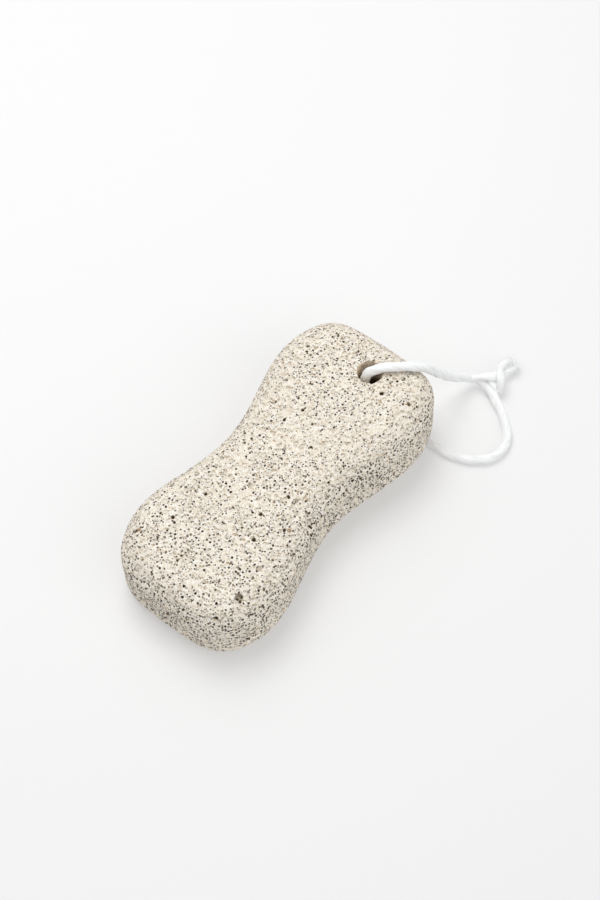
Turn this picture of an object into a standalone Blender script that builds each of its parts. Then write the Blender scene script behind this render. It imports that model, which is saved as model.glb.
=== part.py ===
"""Pumice foot stone with a knotted cotton cord through it. Metres, +Z up.

The stone lies along X with its drilled end at +X. The limp cord runs under that end, so the stone
rests on its far edge and on the cord, pitched by a few degrees. The origin is on the floor, under
the middle of the stone.
"""

import math
import random

import bpy
import bmesh
import numpy as np
from mathutils import Euler, Matrix, Vector, noise
from mathutils.bvhtree import BVHTree

MM = 0.001

# Stone, measured before it is pitched
LENGTH = 96.4 * MM
WAIST_HALF_WIDTH = 17.5 * MM
LOBE_HALF_WIDTH = 24.9 * MM
LOBE_PLACE = 0.76  # where the width is full, as a share of the half length
THICKNESS = 22.4 * MM
CROWN = 0.5 * MM  # how far the top rises in the middle
TOP_ROUNDING_IN = 9.4 * MM
TOP_ROUNDING_DOWN = 7.6 * MM
BASE_ROUNDING = 4.4 * MM
# Squareness of the two ends, along X and along Y: 2 is an ellipse, more is squarer
DRILLED_END_SQUARENESS = (3.06, 5.1)
FAR_END_SQUARENESS = (3.4, 4.0)
LUMP_HEIGHT = 0.3 * MM
LUMP_SIZE = 15.0 * MM

# Hole, drilled straight through the thickness
HOLE_DIAMETER = 7.1 * MM
HOLE_X = 36.5 * MM
HOLE_Y = -2.6 * MM
HOLE_SIDES = 20

# Pores big enough to see from a step away
PORE_COUNT = 150
PORE_RADII = (0.6 * MM, 1.0 * MM)
PORE_SPACING = 0.9 * MM
PORE_SINK = 0.25  # how far a pore's centre lies above the surface, as a share of its radius
PORE_SEED = 11
BARE_PATCH_RADIUS = 9.0 * MM  # pore-free round patch in the middle of the underside
# Vesicles that stand out on the upper face: x, y and radius
VESICLES = (
    (-36.5 * MM, -15.8 * MM, 1.5 * MM),
    (-27.1 * MM, -15.2 * MM, 1.2 * MM),
    (-9.9 * MM, 1.6 * MM, 1.1 * MM),
    (35.0 * MM, -16.7 * MM, 1.1 * MM),
)

# Cord, which the pitch of the stone leaves room for under the drilled end
CORD_DIAMETER = 2.7 * MM
GAP = 0.3 * MM
CORD_POINT_SPACING = 2.3 * MM
PITCH = math.asin((CORD_DIAMETER + 2 * GAP) / (LENGTH / 2 + HOLE_X))

# The loop's centre line in millimetres, from the knot over the stone, down through the hole, out
# under the drilled end and along the floor back to the knot
LOOP_ROUTE = (
    (61.8, -17.8, 5.2),
    (57.6, -16.1, 9.0),
    (54.1, -15.1, 13.4),
    (51.0, -14.4, 18.0),
    (48.5, -13.6, 22.0),
    (46.1, -12.4, 24.8),
    (43.6, -10.5, 26.4),
    (41.2, -8.2, 27.1),
    (38.9, -5.9, 27.4),
    (37.0, -3.8, 26.6),
    (35.7, -2.2, 24.9),
    (35.2, -1.6, 21.9),
    (35.5, -1.3, 17.0),
    (36.0, -1.2, 11.5),
    (36.3, -1.2, 7.2),
    (36.5, -1.9, 4.2),
    (36.8, -4.0, 2.1),
    (37.2, -6.8, 1.4),
    (38.4, -11.7, 1.4),
    (39.3, -16.5, 1.4),
    (39.8, -20.7, 1.4),
    (40.2, -24.8, 1.4),
    (40.8, -28.5, 1.4),
    (42.1, -31.9, 1.4),
    (44.1, -34.9, 1.4),
    (46.8, -37.2, 1.4),
    (50.6, -38.1, 1.4),
    (54.6, -37.1, 1.4),
    (57.9, -34.2, 1.4),
    (60.7, -30.8, 1.5),
)
# The strand inside the knot that joins the loop's two ends, from its last point to its first
KNOT_CORE = (
    (62.4, -27.9, 1.5),
    (63.9, -24.9, 1.7),
    (64.6, -22.2, 2.1),
    (64.3, -20.3, 2.9),
    (63.2, -18.9, 4.0),
)
# The turn that lies over that strand, the one tucked in beside it, and the two cut ends
KNOT_STRANDS = (
    (
        (62.8, -18.9, 5.0),
        (64.0, -20.3, 5.0),
        (64.9, -21.5, 5.2),
        (66.0, -22.8, 5.1),
        (67.0, -24.1, 4.3),
        (67.5, -25.2, 3.1),
    ),
    (
        (65.6, -26.5, 1.5),
        (65.4, -25.7, 2.5),
        (65.7, -24.5, 3.0),
        (66.1, -23.2, 3.1),
        (66.9, -21.7, 2.9),
    ),
    (
        (64.9, -26.3, 1.5),
        (65.5, -26.5, 3.0),
        (66.4, -26.2, 5.1),
        (67.7, -25.0, 5.8),
        (69.8, -23.6, 5.1),
        (72.0, -23.0, 4.2),
        (74.0, -23.3, 3.5),
        (75.5, -24.0, 3.0),
    ),
    (
        (67.2, -22.6, 3.3),
        (68.9, -23.7, 3.1),
        (70.8, -24.6, 2.8),
        (73.1, -25.3, 2.4),
        (75.4, -26.0, 2.0),
    ),
)
KNOT_GAP = 0.4 * MM  # a little over the gap, because fusing the strands moves their ends
KNOT_VOXEL = 0.42 * MM
KNOT_FACES_KEPT = 0.14

# Rings of the stone's mesh, from the middle of the top to the middle of the underside
SEGMENTS = 84
TOP_RINGS = 4
TOP_ROUNDING_RINGS = 5
WALL_RINGS = 3
BASE_ROUNDING_RINGS = 3
UNDERSIDE_RINGS = 3

# Steps that curves are measured in before they are spaced evenly
OUTLINE_STEPS = 4000
CURVE_STEPS = 40


def clear_scene():
    for obj in list(bpy.data.objects):
        bpy.data.objects.remove(obj, do_unlink=True)


def new_collection(name):
    collection = bpy.data.collections.new(name)
    bpy.context.scene.collection.children.link(collection)
    return collection


def new_material(name, colour, roughness):
    material = bpy.data.materials.new(name)
    material.use_nodes = True
    shader = material.node_tree.nodes["Principled BSDF"]
    shader.inputs["Base Color"].default_value = (*colour, 1.0)
    shader.inputs["Roughness"].default_value = roughness
    shader.inputs["Metallic"].default_value = 0.0
    return material


def add_object(name, mesh, collection):
    obj = bpy.data.objects.new(name, mesh)
    collection.objects.link(obj)
    return obj


def mark_as_cutter(obj):
    obj.hide_render = True
    obj.display_type = "WIRE"


def smooth_step(value):
    value = np.clip(value, 0.0, 1.0)
    return value * value * (3.0 - 2.0 * value)


def outline(angle):
    """The stone seen from above: a superellipse whose half width narrows smoothly to the waist."""
    cosine = np.cos(angle)
    sine = np.sin(angle)
    drilled = cosine > 0
    along = np.where(drilled, DRILLED_END_SQUARENESS[0], FAR_END_SQUARENESS[0])
    across = np.where(drilled, DRILLED_END_SQUARENESS[1], FAR_END_SQUARENESS[1])
    place = np.sign(cosine) * np.abs(cosine) ** (2.0 / along)
    widening = smooth_step(np.abs(place) / LOBE_PLACE)
    half_width = WAIST_HALF_WIDTH + (LOBE_HALF_WIDTH - WAIST_HALF_WIDTH) * widening
    x = LENGTH / 2 * place
    y = half_width * np.sign(sine) * np.abs(sine) ** (2.0 / across)
    return np.stack([x, y], axis=1)


def even_outline(count):
    """Points at equal steps round the outline, with the normals that point out of it."""
    fine = outline(np.linspace(0.0, 2.0 * math.pi, OUTLINE_STEPS + 1))
    run = np.concatenate([[0.0], np.cumsum(np.linalg.norm(np.diff(fine, axis=0), axis=1))])
    steps = np.linspace(0.0, run[-1], count, endpoint=False)
    points = np.stack([np.interp(steps, run, fine[:, axis]) for axis in (0, 1)], axis=1)
    ahead = np.roll(points, -1, axis=0) - np.roll(points, 1, axis=0)
    ahead /= np.linalg.norm(ahead, axis=1)[:, None]
    normals = np.stack([ahead[:, 1], -ahead[:, 0]], axis=1)
    return points, normals


def stone_rings():
    """Each ring's scale, its inset from the outline and its height, pole to pole."""
    rings = []
    for k in range(TOP_RINGS):
        scale = k / TOP_RINGS
        rings.append((scale, TOP_ROUNDING_IN, THICKNESS + CROWN * (1.0 - scale * scale)))
    for k in range(TOP_ROUNDING_RINGS):
        turn = math.pi / 2 * k / TOP_ROUNDING_RINGS
        inset = TOP_ROUNDING_IN * (1.0 - math.sin(turn))
        rings.append((1.0, inset, THICKNESS - TOP_ROUNDING_DOWN * (1.0 - math.cos(turn))))
    for k in range(WALL_RINGS):
        share = k / WALL_RINGS
        wall_top = THICKNESS - TOP_ROUNDING_DOWN
        rings.append((1.0, 0.0, wall_top + (BASE_ROUNDING - wall_top) * share))
    for k in range(BASE_ROUNDING_RINGS):
        turn = math.pi / 2 * k / BASE_ROUNDING_RINGS
        inset = BASE_ROUNDING * (1.0 - math.cos(turn))
        rings.append((1.0, inset, BASE_ROUNDING * (1.0 - math.sin(turn))))
    for k in range(UNDERSIDE_RINGS + 1):
        rings.append((1.0 - k / UNDERSIDE_RINGS, BASE_ROUNDING, 0.0))
    return rings


def settle_order(shape):
    """Makes triangles in an order that is the same each run, which the primitives' own isn't."""
    bmesh.ops.triangulate(shape, faces=shape.faces[:], quad_method="SHORT_EDGE")
    shape.verts.index_update()
    count = len(shape.verts)

    def place_in_order(face):
        first, second, third = sorted(vertex.index for vertex in face.verts)
        return (first * count + second) * count + third

    shape.faces.sort(key=place_in_order)
    shape.faces.index_update()


def stone_body():
    """A sphere's mesh, carried over ring by ring onto the stone's outline and edge profile."""
    rings = stone_rings()
    points, normals = even_outline(SEGMENTS)
    body = bmesh.new()
    bmesh.ops.create_uvsphere(body, u_segments=SEGMENTS, v_segments=len(rings) - 1, radius=1.0)
    for vertex in body.verts:
        tilt = math.acos(max(-1.0, min(1.0, vertex.co.z)))
        turn = math.atan2(vertex.co.y, vertex.co.x)
        scale, inset, height = rings[round(tilt / math.pi * (len(rings) - 1))]
        k = round(turn / (2.0 * math.pi) * SEGMENTS) % SEGMENTS
        x, y = scale * (points[k] - inset * normals[k])
        vertex.co = (x, y, height)
    raise_lumps(body)
    settle_order(body)
    body.normal_update()
    return body


def raise_lumps(body):
    """The soft unevenness of a hand-ground stone, everywhere but on the flat underside."""
    body.normal_update()
    for vertex in body.verts:
        if vertex.co.z > 0.5 * BASE_ROUNDING:
            lump = noise.noise(vertex.co / LUMP_SIZE)
            vertex.co += vertex.normal * (LUMP_HEIGHT * lump)


def pore_places(body):
    """Centres and radii of the pores: the known vesicles, then seeded ones spaced apart."""
    surface = BVHTree.FromBMesh(body)
    places = []
    for x, y, radius in VESICLES:
        point, *_ = surface.ray_cast(Vector((x, y, 2.0 * THICKNESS)), Vector((0.0, 0.0, -1.0)))
        places.append((point, radius))
    draw = random.Random(PORE_SEED)
    faces = list(body.faces)
    areas = [round(face.calc_area() / MM**2, 3) for face in faces]
    while len(places) < PORE_COUNT:
        face = draw.choices(faces, weights=areas)[0]
        a, b, c = [vertex.co for vertex in sorted(face.verts, key=lambda v: v.index)]
        u = draw.random()
        v = draw.random()
        if u + v > 1.0:
            u, v = 1.0 - u, 1.0 - v
        point = a + (b - a) * u + (c - a) * v
        radius = PORE_RADII[0] + (PORE_RADII[1] - PORE_RADII[0]) * draw.random() ** 2
        centre = point + face.normal * (PORE_SINK * radius)
        if has_room(centre, radius, places):
            places.append((centre, radius))
    return places


def has_room(centre, radius, places):
    to_hole = math.hypot(centre.x - HOLE_X, centre.y - HOLE_Y)
    if abs(to_hole - HOLE_DIAMETER / 2) < radius + PORE_SPACING:
        return False
    if to_hole < HOLE_DIAMETER / 2:
        return False
    underside = centre.z < BASE_ROUNDING / 2
    if underside and math.hypot(centre.x, centre.y) < BARE_PATCH_RADIUS:
        return False
    return all((centre - other).length > radius + size + PORE_SPACING for other, size in places)


def pore_cutter(places, collection):
    """One mesh of small rough balls, each turned and stretched its own way."""
    cutter = bmesh.new()
    draw = random.Random(PORE_SEED + 1)
    for centre, radius in places:
        turn = Euler([draw.uniform(0.0, 2.0 * math.pi) for _ in range(3)]).to_matrix().to_4x4()
        stretch = Matrix.Diagonal([draw.uniform(0.85, 1.15) for _ in range(3)]).to_4x4()
        place = Matrix.Translation(centre) @ turn @ stretch
        bmesh.ops.create_icosphere(cutter, subdivisions=1, radius=radius, matrix=place)
    settle_order(cutter)
    mesh = bpy.data.meshes.new("pore_cutter")
    cutter.to_mesh(mesh)
    cutter.free()
    obj = add_object("pore_cutter", mesh, collection)
    mark_as_cutter(obj)
    return obj


def hole_cutter(collection):
    cutter = bmesh.new()
    bmesh.ops.create_cone(
        cutter,
        cap_ends=True,
        segments=HOLE_SIDES,
        radius1=HOLE_DIAMETER / 2,
        radius2=HOLE_DIAMETER / 2,
        depth=2.0 * THICKNESS,
        matrix=Matrix.Translation((HOLE_X, HOLE_Y, THICKNESS / 2)),
    )
    mesh = bpy.data.meshes.new("hole_cutter")
    cutter.to_mesh(mesh)
    cutter.free()
    obj = add_object("hole_cutter", mesh, collection)
    mark_as_cutter(obj)
    return obj


def seat_stone(mesh):
    """An empty that pitches the stone and stands it on the floor, its middle over the origin."""
    turn = Matrix.Rotation(-PITCH, 4, "Y")
    corners = np.array([turn @ vertex.co for vertex in mesh.vertices])
    low = corners.min(axis=0)
    high = corners.max(axis=0)
    seat = bpy.data.objects.new("stone_seat", None)
    seat.rotation_euler = (0.0, -PITCH, 0.0)
    seat.location = (-(low[0] + high[0]) / 2, -(low[1] + high[1]) / 2, -low[2])
    return seat


def build_stone(parts, cutters):
    body = stone_body()
    mesh = bpy.data.meshes.new("pumice_stone")
    body.to_mesh(mesh)
    mesh.shade_smooth()
    stone = add_object("pumice_stone", mesh, parts)
    stone.data.materials.append(new_material("pumice", (0.72, 0.66, 0.56), 0.95))
    seat = seat_stone(mesh)
    parts.objects.link(seat)
    helpers = (hole_cutter(cutters), pore_cutter(pore_places(body), cutters))
    body.free()
    for helper in helpers:
        cut = stone.modifiers.new(helper.name, "BOOLEAN")
        cut.operation = "DIFFERENCE"
        cut.object = helper
    for obj in (stone, *helpers):
        obj.parent = seat


def smooth_curve(route, spacing, before=None, after=None):
    """Points at an even spacing on the Catmull-Rom curve through the route's points.

    The points before and after the route only steer its ends.
    """
    inner = np.array(route)
    before = 2.0 * inner[0] - inner[1] if before is None else before
    after = 2.0 * inner[-1] - inner[-2] if after is None else after
    knots = MM * np.vstack([before, inner, after])
    share = np.linspace(0.0, 1.0, CURVE_STEPS, endpoint=False)[:, None]
    spans = []
    for a, b, c, d in zip(knots, knots[1:], knots[2:], knots[3:]):
        square = (2.0 * a - 5.0 * b + 4.0 * c - d) * share**2
        cube = (3.0 * b - a - 3.0 * c + d) * share**3
        spans.append(b + 0.5 * ((c - a) * share + square + cube))
    fine = np.vstack([*spans, knots[-2]])
    run = np.concatenate([[0.0], np.cumsum(np.linalg.norm(np.diff(fine, axis=0), axis=1))])
    steps = np.linspace(0.0, run[-1], round(run[-1] / spacing) + 1)
    return np.stack([np.interp(steps, run, fine[:, axis]) for axis in range(3)], axis=1)


def tube(name, points, collection):
    """A round cord along the points, with closed ends."""
    curve = bpy.data.curves.new(name, "CURVE")
    curve.dimensions = "3D"
    curve.bevel_depth = CORD_DIAMETER / 2
    curve.bevel_resolution = 2
    curve.use_fill_caps = True
    spline = curve.splines.new("POLY")
    spline.points.add(len(points) - 1)
    for place, point in zip(spline.points, points):
        place.co = (*point, 1.0)
    return add_object(name, curve, collection)


def build_loop(parts, cotton):
    points = smooth_curve(LOOP_ROUTE, CORD_POINT_SPACING, KNOT_CORE[-1], KNOT_CORE[0])
    loop = tube("cord_loop", points, parts)
    loop.data.materials.append(cotton)


def knot_lines():
    spacing = CORD_DIAMETER / 2
    core = (LOOP_ROUTE[-1], *KNOT_CORE, LOOP_ROUTE[0])
    core_line = smooth_curve(core, spacing, LOOP_ROUTE[-2], LOOP_ROUTE[1])
    others = [smooth_curve(route, spacing) for route in KNOT_STRANDS]
    return [shortened(core_line, KNOT_GAP), *others]


def build_knot(parts, cotton):
    """The knot's strands made one lump, clear of the loop's two ends."""
    shape = bmesh.new()
    graph = bpy.context.evaluated_depsgraph_get()
    for points in knot_lines():
        strand = tube("strand", points, parts)
        graph.update()
        shape.from_mesh(bpy.data.meshes.new_from_object(strand.evaluated_get(graph)))
        bpy.data.objects.remove(strand, do_unlink=True)
    bmesh.ops.remove_doubles(shape, verts=shape.verts[:], dist=0.01 * MM)
    mesh = bpy.data.meshes.new("cord_knot")
    shape.to_mesh(mesh)
    shape.free()
    knot = add_object("cord_knot", mesh, parts)
    knot.data.materials.append(cotton)
    fuse = knot.modifiers.new("fuse", "REMESH")
    fuse.mode = "VOXEL"
    fuse.voxel_size = KNOT_VOXEL
    thin = knot.modifiers.new("thin", "DECIMATE")
    thin.ratio = KNOT_FACES_KEPT


def shortened(points, length):
    """The same line with this much taken off both ends."""
    points = points.copy()
    for end, beside in ((0, 1), (-1, -2)):
        inward = points[beside] - points[end]
        points[end] += inward / np.linalg.norm(inward) * length
    return points


clear_scene()
parts = new_collection("pumice_stone_on_cord")
cutters = new_collection("cutters")
build_stone(parts, cutters)
cotton = new_material("cotton", (0.84, 0.85, 0.86), 0.85)
build_loop(parts, cotton)
build_knot(parts, cotton)
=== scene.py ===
"""The looks of a pumice foot stone on a knotted cotton cord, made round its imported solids.

Metres, +Z up. The floor is at z = 0, and +X runs along the stone towards its drilled end.
"""

import math

import bpy
import numpy as np
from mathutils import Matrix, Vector


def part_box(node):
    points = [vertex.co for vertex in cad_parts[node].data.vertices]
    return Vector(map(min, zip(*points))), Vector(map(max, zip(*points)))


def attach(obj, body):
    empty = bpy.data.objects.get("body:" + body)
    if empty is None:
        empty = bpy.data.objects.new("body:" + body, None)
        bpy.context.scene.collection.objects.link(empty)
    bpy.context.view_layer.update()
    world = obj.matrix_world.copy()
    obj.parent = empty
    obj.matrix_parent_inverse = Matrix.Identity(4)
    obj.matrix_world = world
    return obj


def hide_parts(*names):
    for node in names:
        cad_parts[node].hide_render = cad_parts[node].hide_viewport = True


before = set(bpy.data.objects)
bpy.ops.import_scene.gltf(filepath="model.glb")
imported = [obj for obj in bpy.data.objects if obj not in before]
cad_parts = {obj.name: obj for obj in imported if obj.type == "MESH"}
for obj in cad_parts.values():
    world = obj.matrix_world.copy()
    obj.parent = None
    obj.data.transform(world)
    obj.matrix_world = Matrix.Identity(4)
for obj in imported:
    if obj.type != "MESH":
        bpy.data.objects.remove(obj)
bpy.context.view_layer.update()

# View: the stone is seen steeply from above, over its far end, so that it runs up the picture
# towards the drilled end and the cord.
MM = 0.001
VIEW_AIM = Vector((11.38, 2.09, 11.83)) * MM
VIEW_AZIMUTH = math.radians(-51.81)
VIEW_ELEVATION = math.radians(60.0)
VIEW_DISTANCE = 0.55
VIEW_LENS = 81.18  # millimetres
FILM_HEIGHT = 36.0  # millimetres


def way_back(azimuth, elevation):
    """The direction from what is looked at back to the eye, with azimuth 0 looking along +Y."""
    level = math.cos(elevation)
    return Vector((math.sin(azimuth) * level, -math.cos(azimuth) * level, math.sin(elevation)))


def place_view():
    """Stands the camera at its distance from what it aims at, upright."""
    lens = bpy.data.cameras.new("view")
    lens.sensor_fit = "VERTICAL"
    lens.sensor_height = FILM_HEIGHT
    lens.lens = VIEW_LENS
    lens.clip_start = 10.0 * MM
    view = bpy.data.objects.new("view", lens)
    bpy.context.scene.collection.objects.link(view)
    back = way_back(VIEW_AZIMUTH, VIEW_ELEVATION)
    view.location = VIEW_AIM + VIEW_DISTANCE * back
    view.rotation_euler = back.to_track_quat("Z", "Y").to_euler()
    bpy.context.scene.camera = view


place_view()

# Cord: one soft white cotton cord of three loosely laid plies. It goes down through the drilled
# hole, out under the stone, and back along the floor to the knot that ties its two ends.
CORD_DIAMETER = 2.7 * MM
PLIES = 3
PLY_TURN = 17.0 * MM  # cord for one whole turn of the plies
PLY_DEPTH = 0.15  # how far the grooves between the plies go in, as a share of the radius
GROOVE_POWER = 0.7  # the lower it is, the narrower the grooves
SWELL = 0.045  # how far it swells and thins, as a share of the radius, over this distance
SWELL_SIZE = 1.5 * MM
ROUGHNESS = 0.02  # and the same for the fine roughness of its skin
ROUGHNESS_SIZE = 0.35 * MM
CORD_STEP = 0.22 * MM
CORD_SIDES = 36
CURVE_STEPS = 40
# The cord's centre line in millimetres: from the middle of the hole up over the stone to the knot,
CORD_OVER_STONE = (
    (35.5, -1.3, 17.0),
    (35.2, -1.6, 21.9),
    (35.7, -2.2, 24.9),
    (37.0, -3.8, 26.6),
    (38.9, -5.9, 27.4),
    (41.2, -8.2, 27.1),
    (43.6, -10.5, 26.4),
    (46.1, -12.4, 24.8),
    (48.5, -13.6, 22.0),
    (51.0, -14.4, 18.0),
    (54.1, -15.1, 13.4),
    (57.6, -16.1, 9.0),
    (61.8, -17.8, 5.2),
)
# through the knot,
CORD_IN_KNOT = (
    (63.1, -18.8, 4.2),
    (64.2, -20.2, 3.4),
    (64.5, -22.2, 2.8),
    (63.8, -24.9, 2.1),
    (62.4, -27.9, 1.6),
)
# and back along the floor, under the stone and up into the hole.
CORD_ON_FLOOR = (
    (60.7, -30.8, 1.5),
    (57.9, -34.2, 1.4),
    (54.6, -37.1, 1.4),
    (50.6, -38.1, 1.4),
    (46.8, -37.2, 1.4),
    (44.1, -34.9, 1.4),
    (42.1, -31.9, 1.4),
    (40.8, -28.5, 1.4),
    (40.2, -24.8, 1.4),
    (39.8, -20.7, 1.4),
    (39.3, -16.5, 1.4),
    (38.4, -11.7, 1.4),
    (37.2, -6.8, 1.4),
    (36.8, -4.0, 2.1),
    (36.5, -1.9, 4.2),
    (36.3, -1.2, 7.2),
    (36.0, -1.2, 11.5),
)


def smooth_step(value):
    """3 t^2 - 2 t^3 with the value t held between 0 and 1."""
    value = np.clip(value, 0.0, 1.0)
    return value * value * (3.0 - 2.0 * value)


def smooth_curve(route, spacing, closed=False):
    """Points at an even spacing on the Catmull-Rom curve through a route given in millimetres.

    Between points b and c, with a before and d after them, and t from 0 to 1, the curve is
    b + ((c - a) t + (2a - 5b + 4c - d) t^2 + (3b - a - 3c + d) t^3) / 2.
    """
    route = MM * np.array(route)
    if closed:
        around = np.vstack([route[-1:], route, route[:2]])
    else:
        around = np.vstack([2.0 * route[0] - route[1], route, 2.0 * route[-1] - route[-2]])
    a, b, c, d = (around[k:len(around) - 3 + k, None] for k in range(4))
    t = np.linspace(0.0, 1.0, CURVE_STEPS, endpoint=False)[None, :, None]
    square = (2.0 * a - 5.0 * b + 4.0 * c - d) * t**2
    cube = (3.0 * b - a - 3.0 * c + d) * t**3
    fine = (b + 0.5 * ((c - a) * t + square + cube)).reshape(-1, 3)
    fine = np.vstack([fine, around[-2]])
    run = np.concatenate([[0.0], np.cumsum(np.linalg.norm(np.diff(fine, axis=0), axis=1))])
    steps = np.linspace(0.0, run[-1], round(run[-1] / spacing) + 1)
    return np.stack([np.interp(steps, run, fine[:, axis]) for axis in range(3)], axis=1)


def unit(vectors):
    return vectors / np.linalg.norm(vectors, axis=-1, keepdims=True)


def carried_sides(line, closed):
    """Two vectors square to the line at each point, carried along it without spinning round it.

    On a closed line the angle left over at the end is taken out evenly along the way.
    """
    if closed:
        ahead = unit(np.roll(line, -1, axis=0) - np.roll(line, 1, axis=0))
    else:
        ahead = unit(np.gradient(line, axis=0))
    side = np.empty_like(line)
    side[0] = unit(np.cross(ahead[0], (0.3, 1.0, 0.2)))
    for k in range(1, len(line)):
        side[k] = unit(side[k - 1] - ahead[k] * (side[k - 1] @ ahead[k]))
    other = np.cross(ahead, side)
    if closed:
        carried = unit(side[-1] - ahead[0] * (side[-1] @ ahead[0]))
        left_over = math.atan2(carried @ other[0], carried @ side[0])
        turn = -left_over * np.arange(len(line))[:, None] / len(line)
        side, other = (
            np.cos(turn) * side + np.sin(turn) * other,
            np.cos(turn) * other - np.sin(turn) * side,
        )
    return side, other


def random_at(cells, draw):
    """A number from 0 to 1 for each whole-numbered cell, mixed from its indices and the draw."""
    cells = cells.astype(np.int64)
    mixed = cells[..., 0] * 73856093 ^ cells[..., 1] * 19349663 ^ cells[..., 2] * 83492791
    mixed = (mixed ^ draw * 2654435761) & 0xFFFFFFFF
    for _ in range(2):
        mixed = ((mixed ^ mixed >> 16) * 0x45D9F3B) & 0xFFFFFFFF
    return (mixed ^ mixed >> 16) / 2.0**32


def soft_noise(points, size, draw):
    """From -1 to 1: seeded numbers at the corners of cubes of this size, blended smoothly between."""
    place = points / size
    cell = np.floor(place)
    share = smooth_step(place - cell)
    total = np.zeros(points.shape[:-1])
    for corner in np.ndindex(2, 2, 2):
        weight = np.prod(np.where(corner, share, 1.0 - share), axis=-1)
        total += weight * random_at(cell + corner, draw)
    return 2.0 * total - 1.0


def strand(line, radius, draw, closed=False, thin_end=1.0):
    """A laid cord's skin along a line: its points, its faces, and where each point is on the cord
    pulled straight, in millimetres.

    At each step s and angle w a point is the line's point plus r (cos w, sin w) on the two side
    vectors. With the plies wound to p = w - 2 pi s / PLY_TURN, r is the radius times
    1 - PLY_DEPTH (1 - |cos(PLIES p / 2)|^GROOVE_POWER), made a little uneven. An open strand's ends
    round off, and it thins along the way to thin_end times its radius.
    """
    count = len(line)
    run = np.arange(count)[:, None] * CORD_STEP
    length = run[-1, 0] + (CORD_STEP if closed else 0.0)
    turns = length / PLY_TURN
    if closed:
        turns = round(turns * PLIES) / PLIES
    angle = np.linspace(0.0, 2.0 * math.pi, CORD_SIDES, endpoint=False)[None, :]
    wound = angle - 2.0 * math.pi * turns * run / length
    straight = np.stack([np.cos(wound), np.sin(wound), np.zeros_like(wound)], axis=-1) * radius
    straight[..., 2] = run
    groove = 1.0 - np.abs(np.cos(PLIES * wound / 2.0)) ** GROOVE_POWER
    swell = SWELL * soft_noise(straight * (1.0, 1.0, 0.35), SWELL_SIZE, draw)
    fine = ROUGHNESS * soft_noise(straight * (1.0, 1.0, 0.25), ROUGHNESS_SIZE, draw + 1)
    round_off = radius * (1.0 - PLY_DEPTH * groove + swell + fine)
    if not closed:
        to_end = np.minimum(run, length - run) / radius
        round_off = round_off * np.sqrt(np.clip(1.0 - (1.0 - np.minimum(to_end, 1.0)) ** 2, 0.02, 1.0))
        round_off = round_off * (1.0 + (thin_end - 1.0) * smooth_step(run / length))
    side, other = carried_sides(line, closed)
    skin = line[:, None] + round_off[..., None] * (
        np.cos(angle)[..., None] * side[:, None] + np.sin(angle)[..., None] * other[:, None]
    )
    rows = np.arange(count if closed else count - 1)[:, None]
    columns = np.arange(CORD_SIDES)[None, :]
    next_row = (rows + 1) % count
    next_column = (columns + 1) % CORD_SIDES
    corners = (
        rows * CORD_SIDES + columns,
        rows * CORD_SIDES + next_column,
        next_row * CORD_SIDES + next_column,
        next_row * CORD_SIDES + columns,
    )
    faces = np.stack(corners, axis=-1).reshape(-1, 4).tolist()
    if not closed:
        faces.append(list(range(CORD_SIDES))[::-1])
        faces.append(list(range((count - 1) * CORD_SIDES, count * CORD_SIDES)))
    return skin.reshape(-1, 3), faces, straight.reshape(-1, 3) / MM


def new_piece(name, parts):
    """One object from several (points, faces, straight) parts, with straight kept as an attribute."""
    mesh = bpy.data.meshes.new(name)
    starts = np.cumsum([0] + [len(points) for points, _, _ in parts])
    faces = [[start + k for k in face] for start, part in zip(starts, parts) for face in part[1]]
    mesh.from_pydata(np.vstack([points for points, _, _ in parts]), [], faces)
    lay = mesh.attributes.new("straight", "FLOAT_VECTOR", "POINT")
    lay.data.foreach_set("vector", np.vstack([straight for _, _, straight in parts]).ravel())
    mesh.shade_smooth()
    piece = bpy.data.objects.new(name, mesh)
    bpy.context.scene.collection.objects.link(piece)
    return piece


cord_line = smooth_curve(CORD_OVER_STONE + CORD_IN_KNOT + CORD_ON_FLOOR, CORD_STEP, closed=True)
loop = new_piece("cotton_loop", [strand(cord_line[:-1], CORD_DIAMETER / 2, draw=3, closed=True)])

# Knot: the cord's two ends are tied in an overhand knot. One turn lies over the cord inside, one is
# tucked in beside it, and the two cut ends stick out of it and fray.
KNOT_TURNS = (
    (
        (67.5, -25.2, 3.1),
        (67.0, -24.1, 4.3),
        (66.0, -22.8, 5.1),
        (64.9, -21.5, 5.2),
        (64.0, -20.3, 4.9),
        (62.9, -19.0, 4.8),
        (61.3, -17.6, 5.3),
    ),
    (
        (65.6, -26.5, 1.5),
        (65.2, -25.4, 2.7),
        (65.4, -24.2, 3.5),
        (65.7, -22.9, 3.9),
        (66.3, -21.6, 3.8),
    ),
)
CUT_ENDS = (
    (
        (64.9, -26.3, 1.5),
        (65.5, -26.5, 3.0),
        (66.4, -26.2, 5.1),
        (67.7, -25.0, 5.8),
        (69.8, -23.6, 5.1),
        (72.0, -23.0, 4.2),
        (74.0, -23.3, 3.5),
        (75.5, -24.0, 3.0),
    ),
    (
        (67.2, -22.6, 3.3),
        (68.9, -23.7, 3.1),
        (70.8, -24.6, 2.8),
        (73.1, -25.3, 2.4),
        (75.4, -26.0, 2.0),
    ),
)
KNOT_TURN_RADIUS = 0.52 * CORD_DIAMETER
KNOT_TURN_THIN_END = 0.6  # it thins to this, so that its end is lost inside the cord
CUT_END_RADIUS = 0.47 * CORD_DIAMETER
CUT_END_THIN_END = 0.68
FRAY_HAIRS = 130
FRAY_LENGTH = 2.6 * MM
FRAY_STEPS = 18  # the hairs start in this many last steps of a cut end
FRAY_SPREAD = 0.26 * CORD_DIAMETER
FRAY_FAN = 0.22  # how far a hair's way strays from the cord's, as a share of its length
FUZZ_HAIRS = 900
FUZZ_LENGTH = 1.1 * MM
HAIR_THICKNESS = 0.06 * MM
HAIR_TIP = 0.15
HAIR_RINGS = 6
HAIR_SIDES = 3


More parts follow.
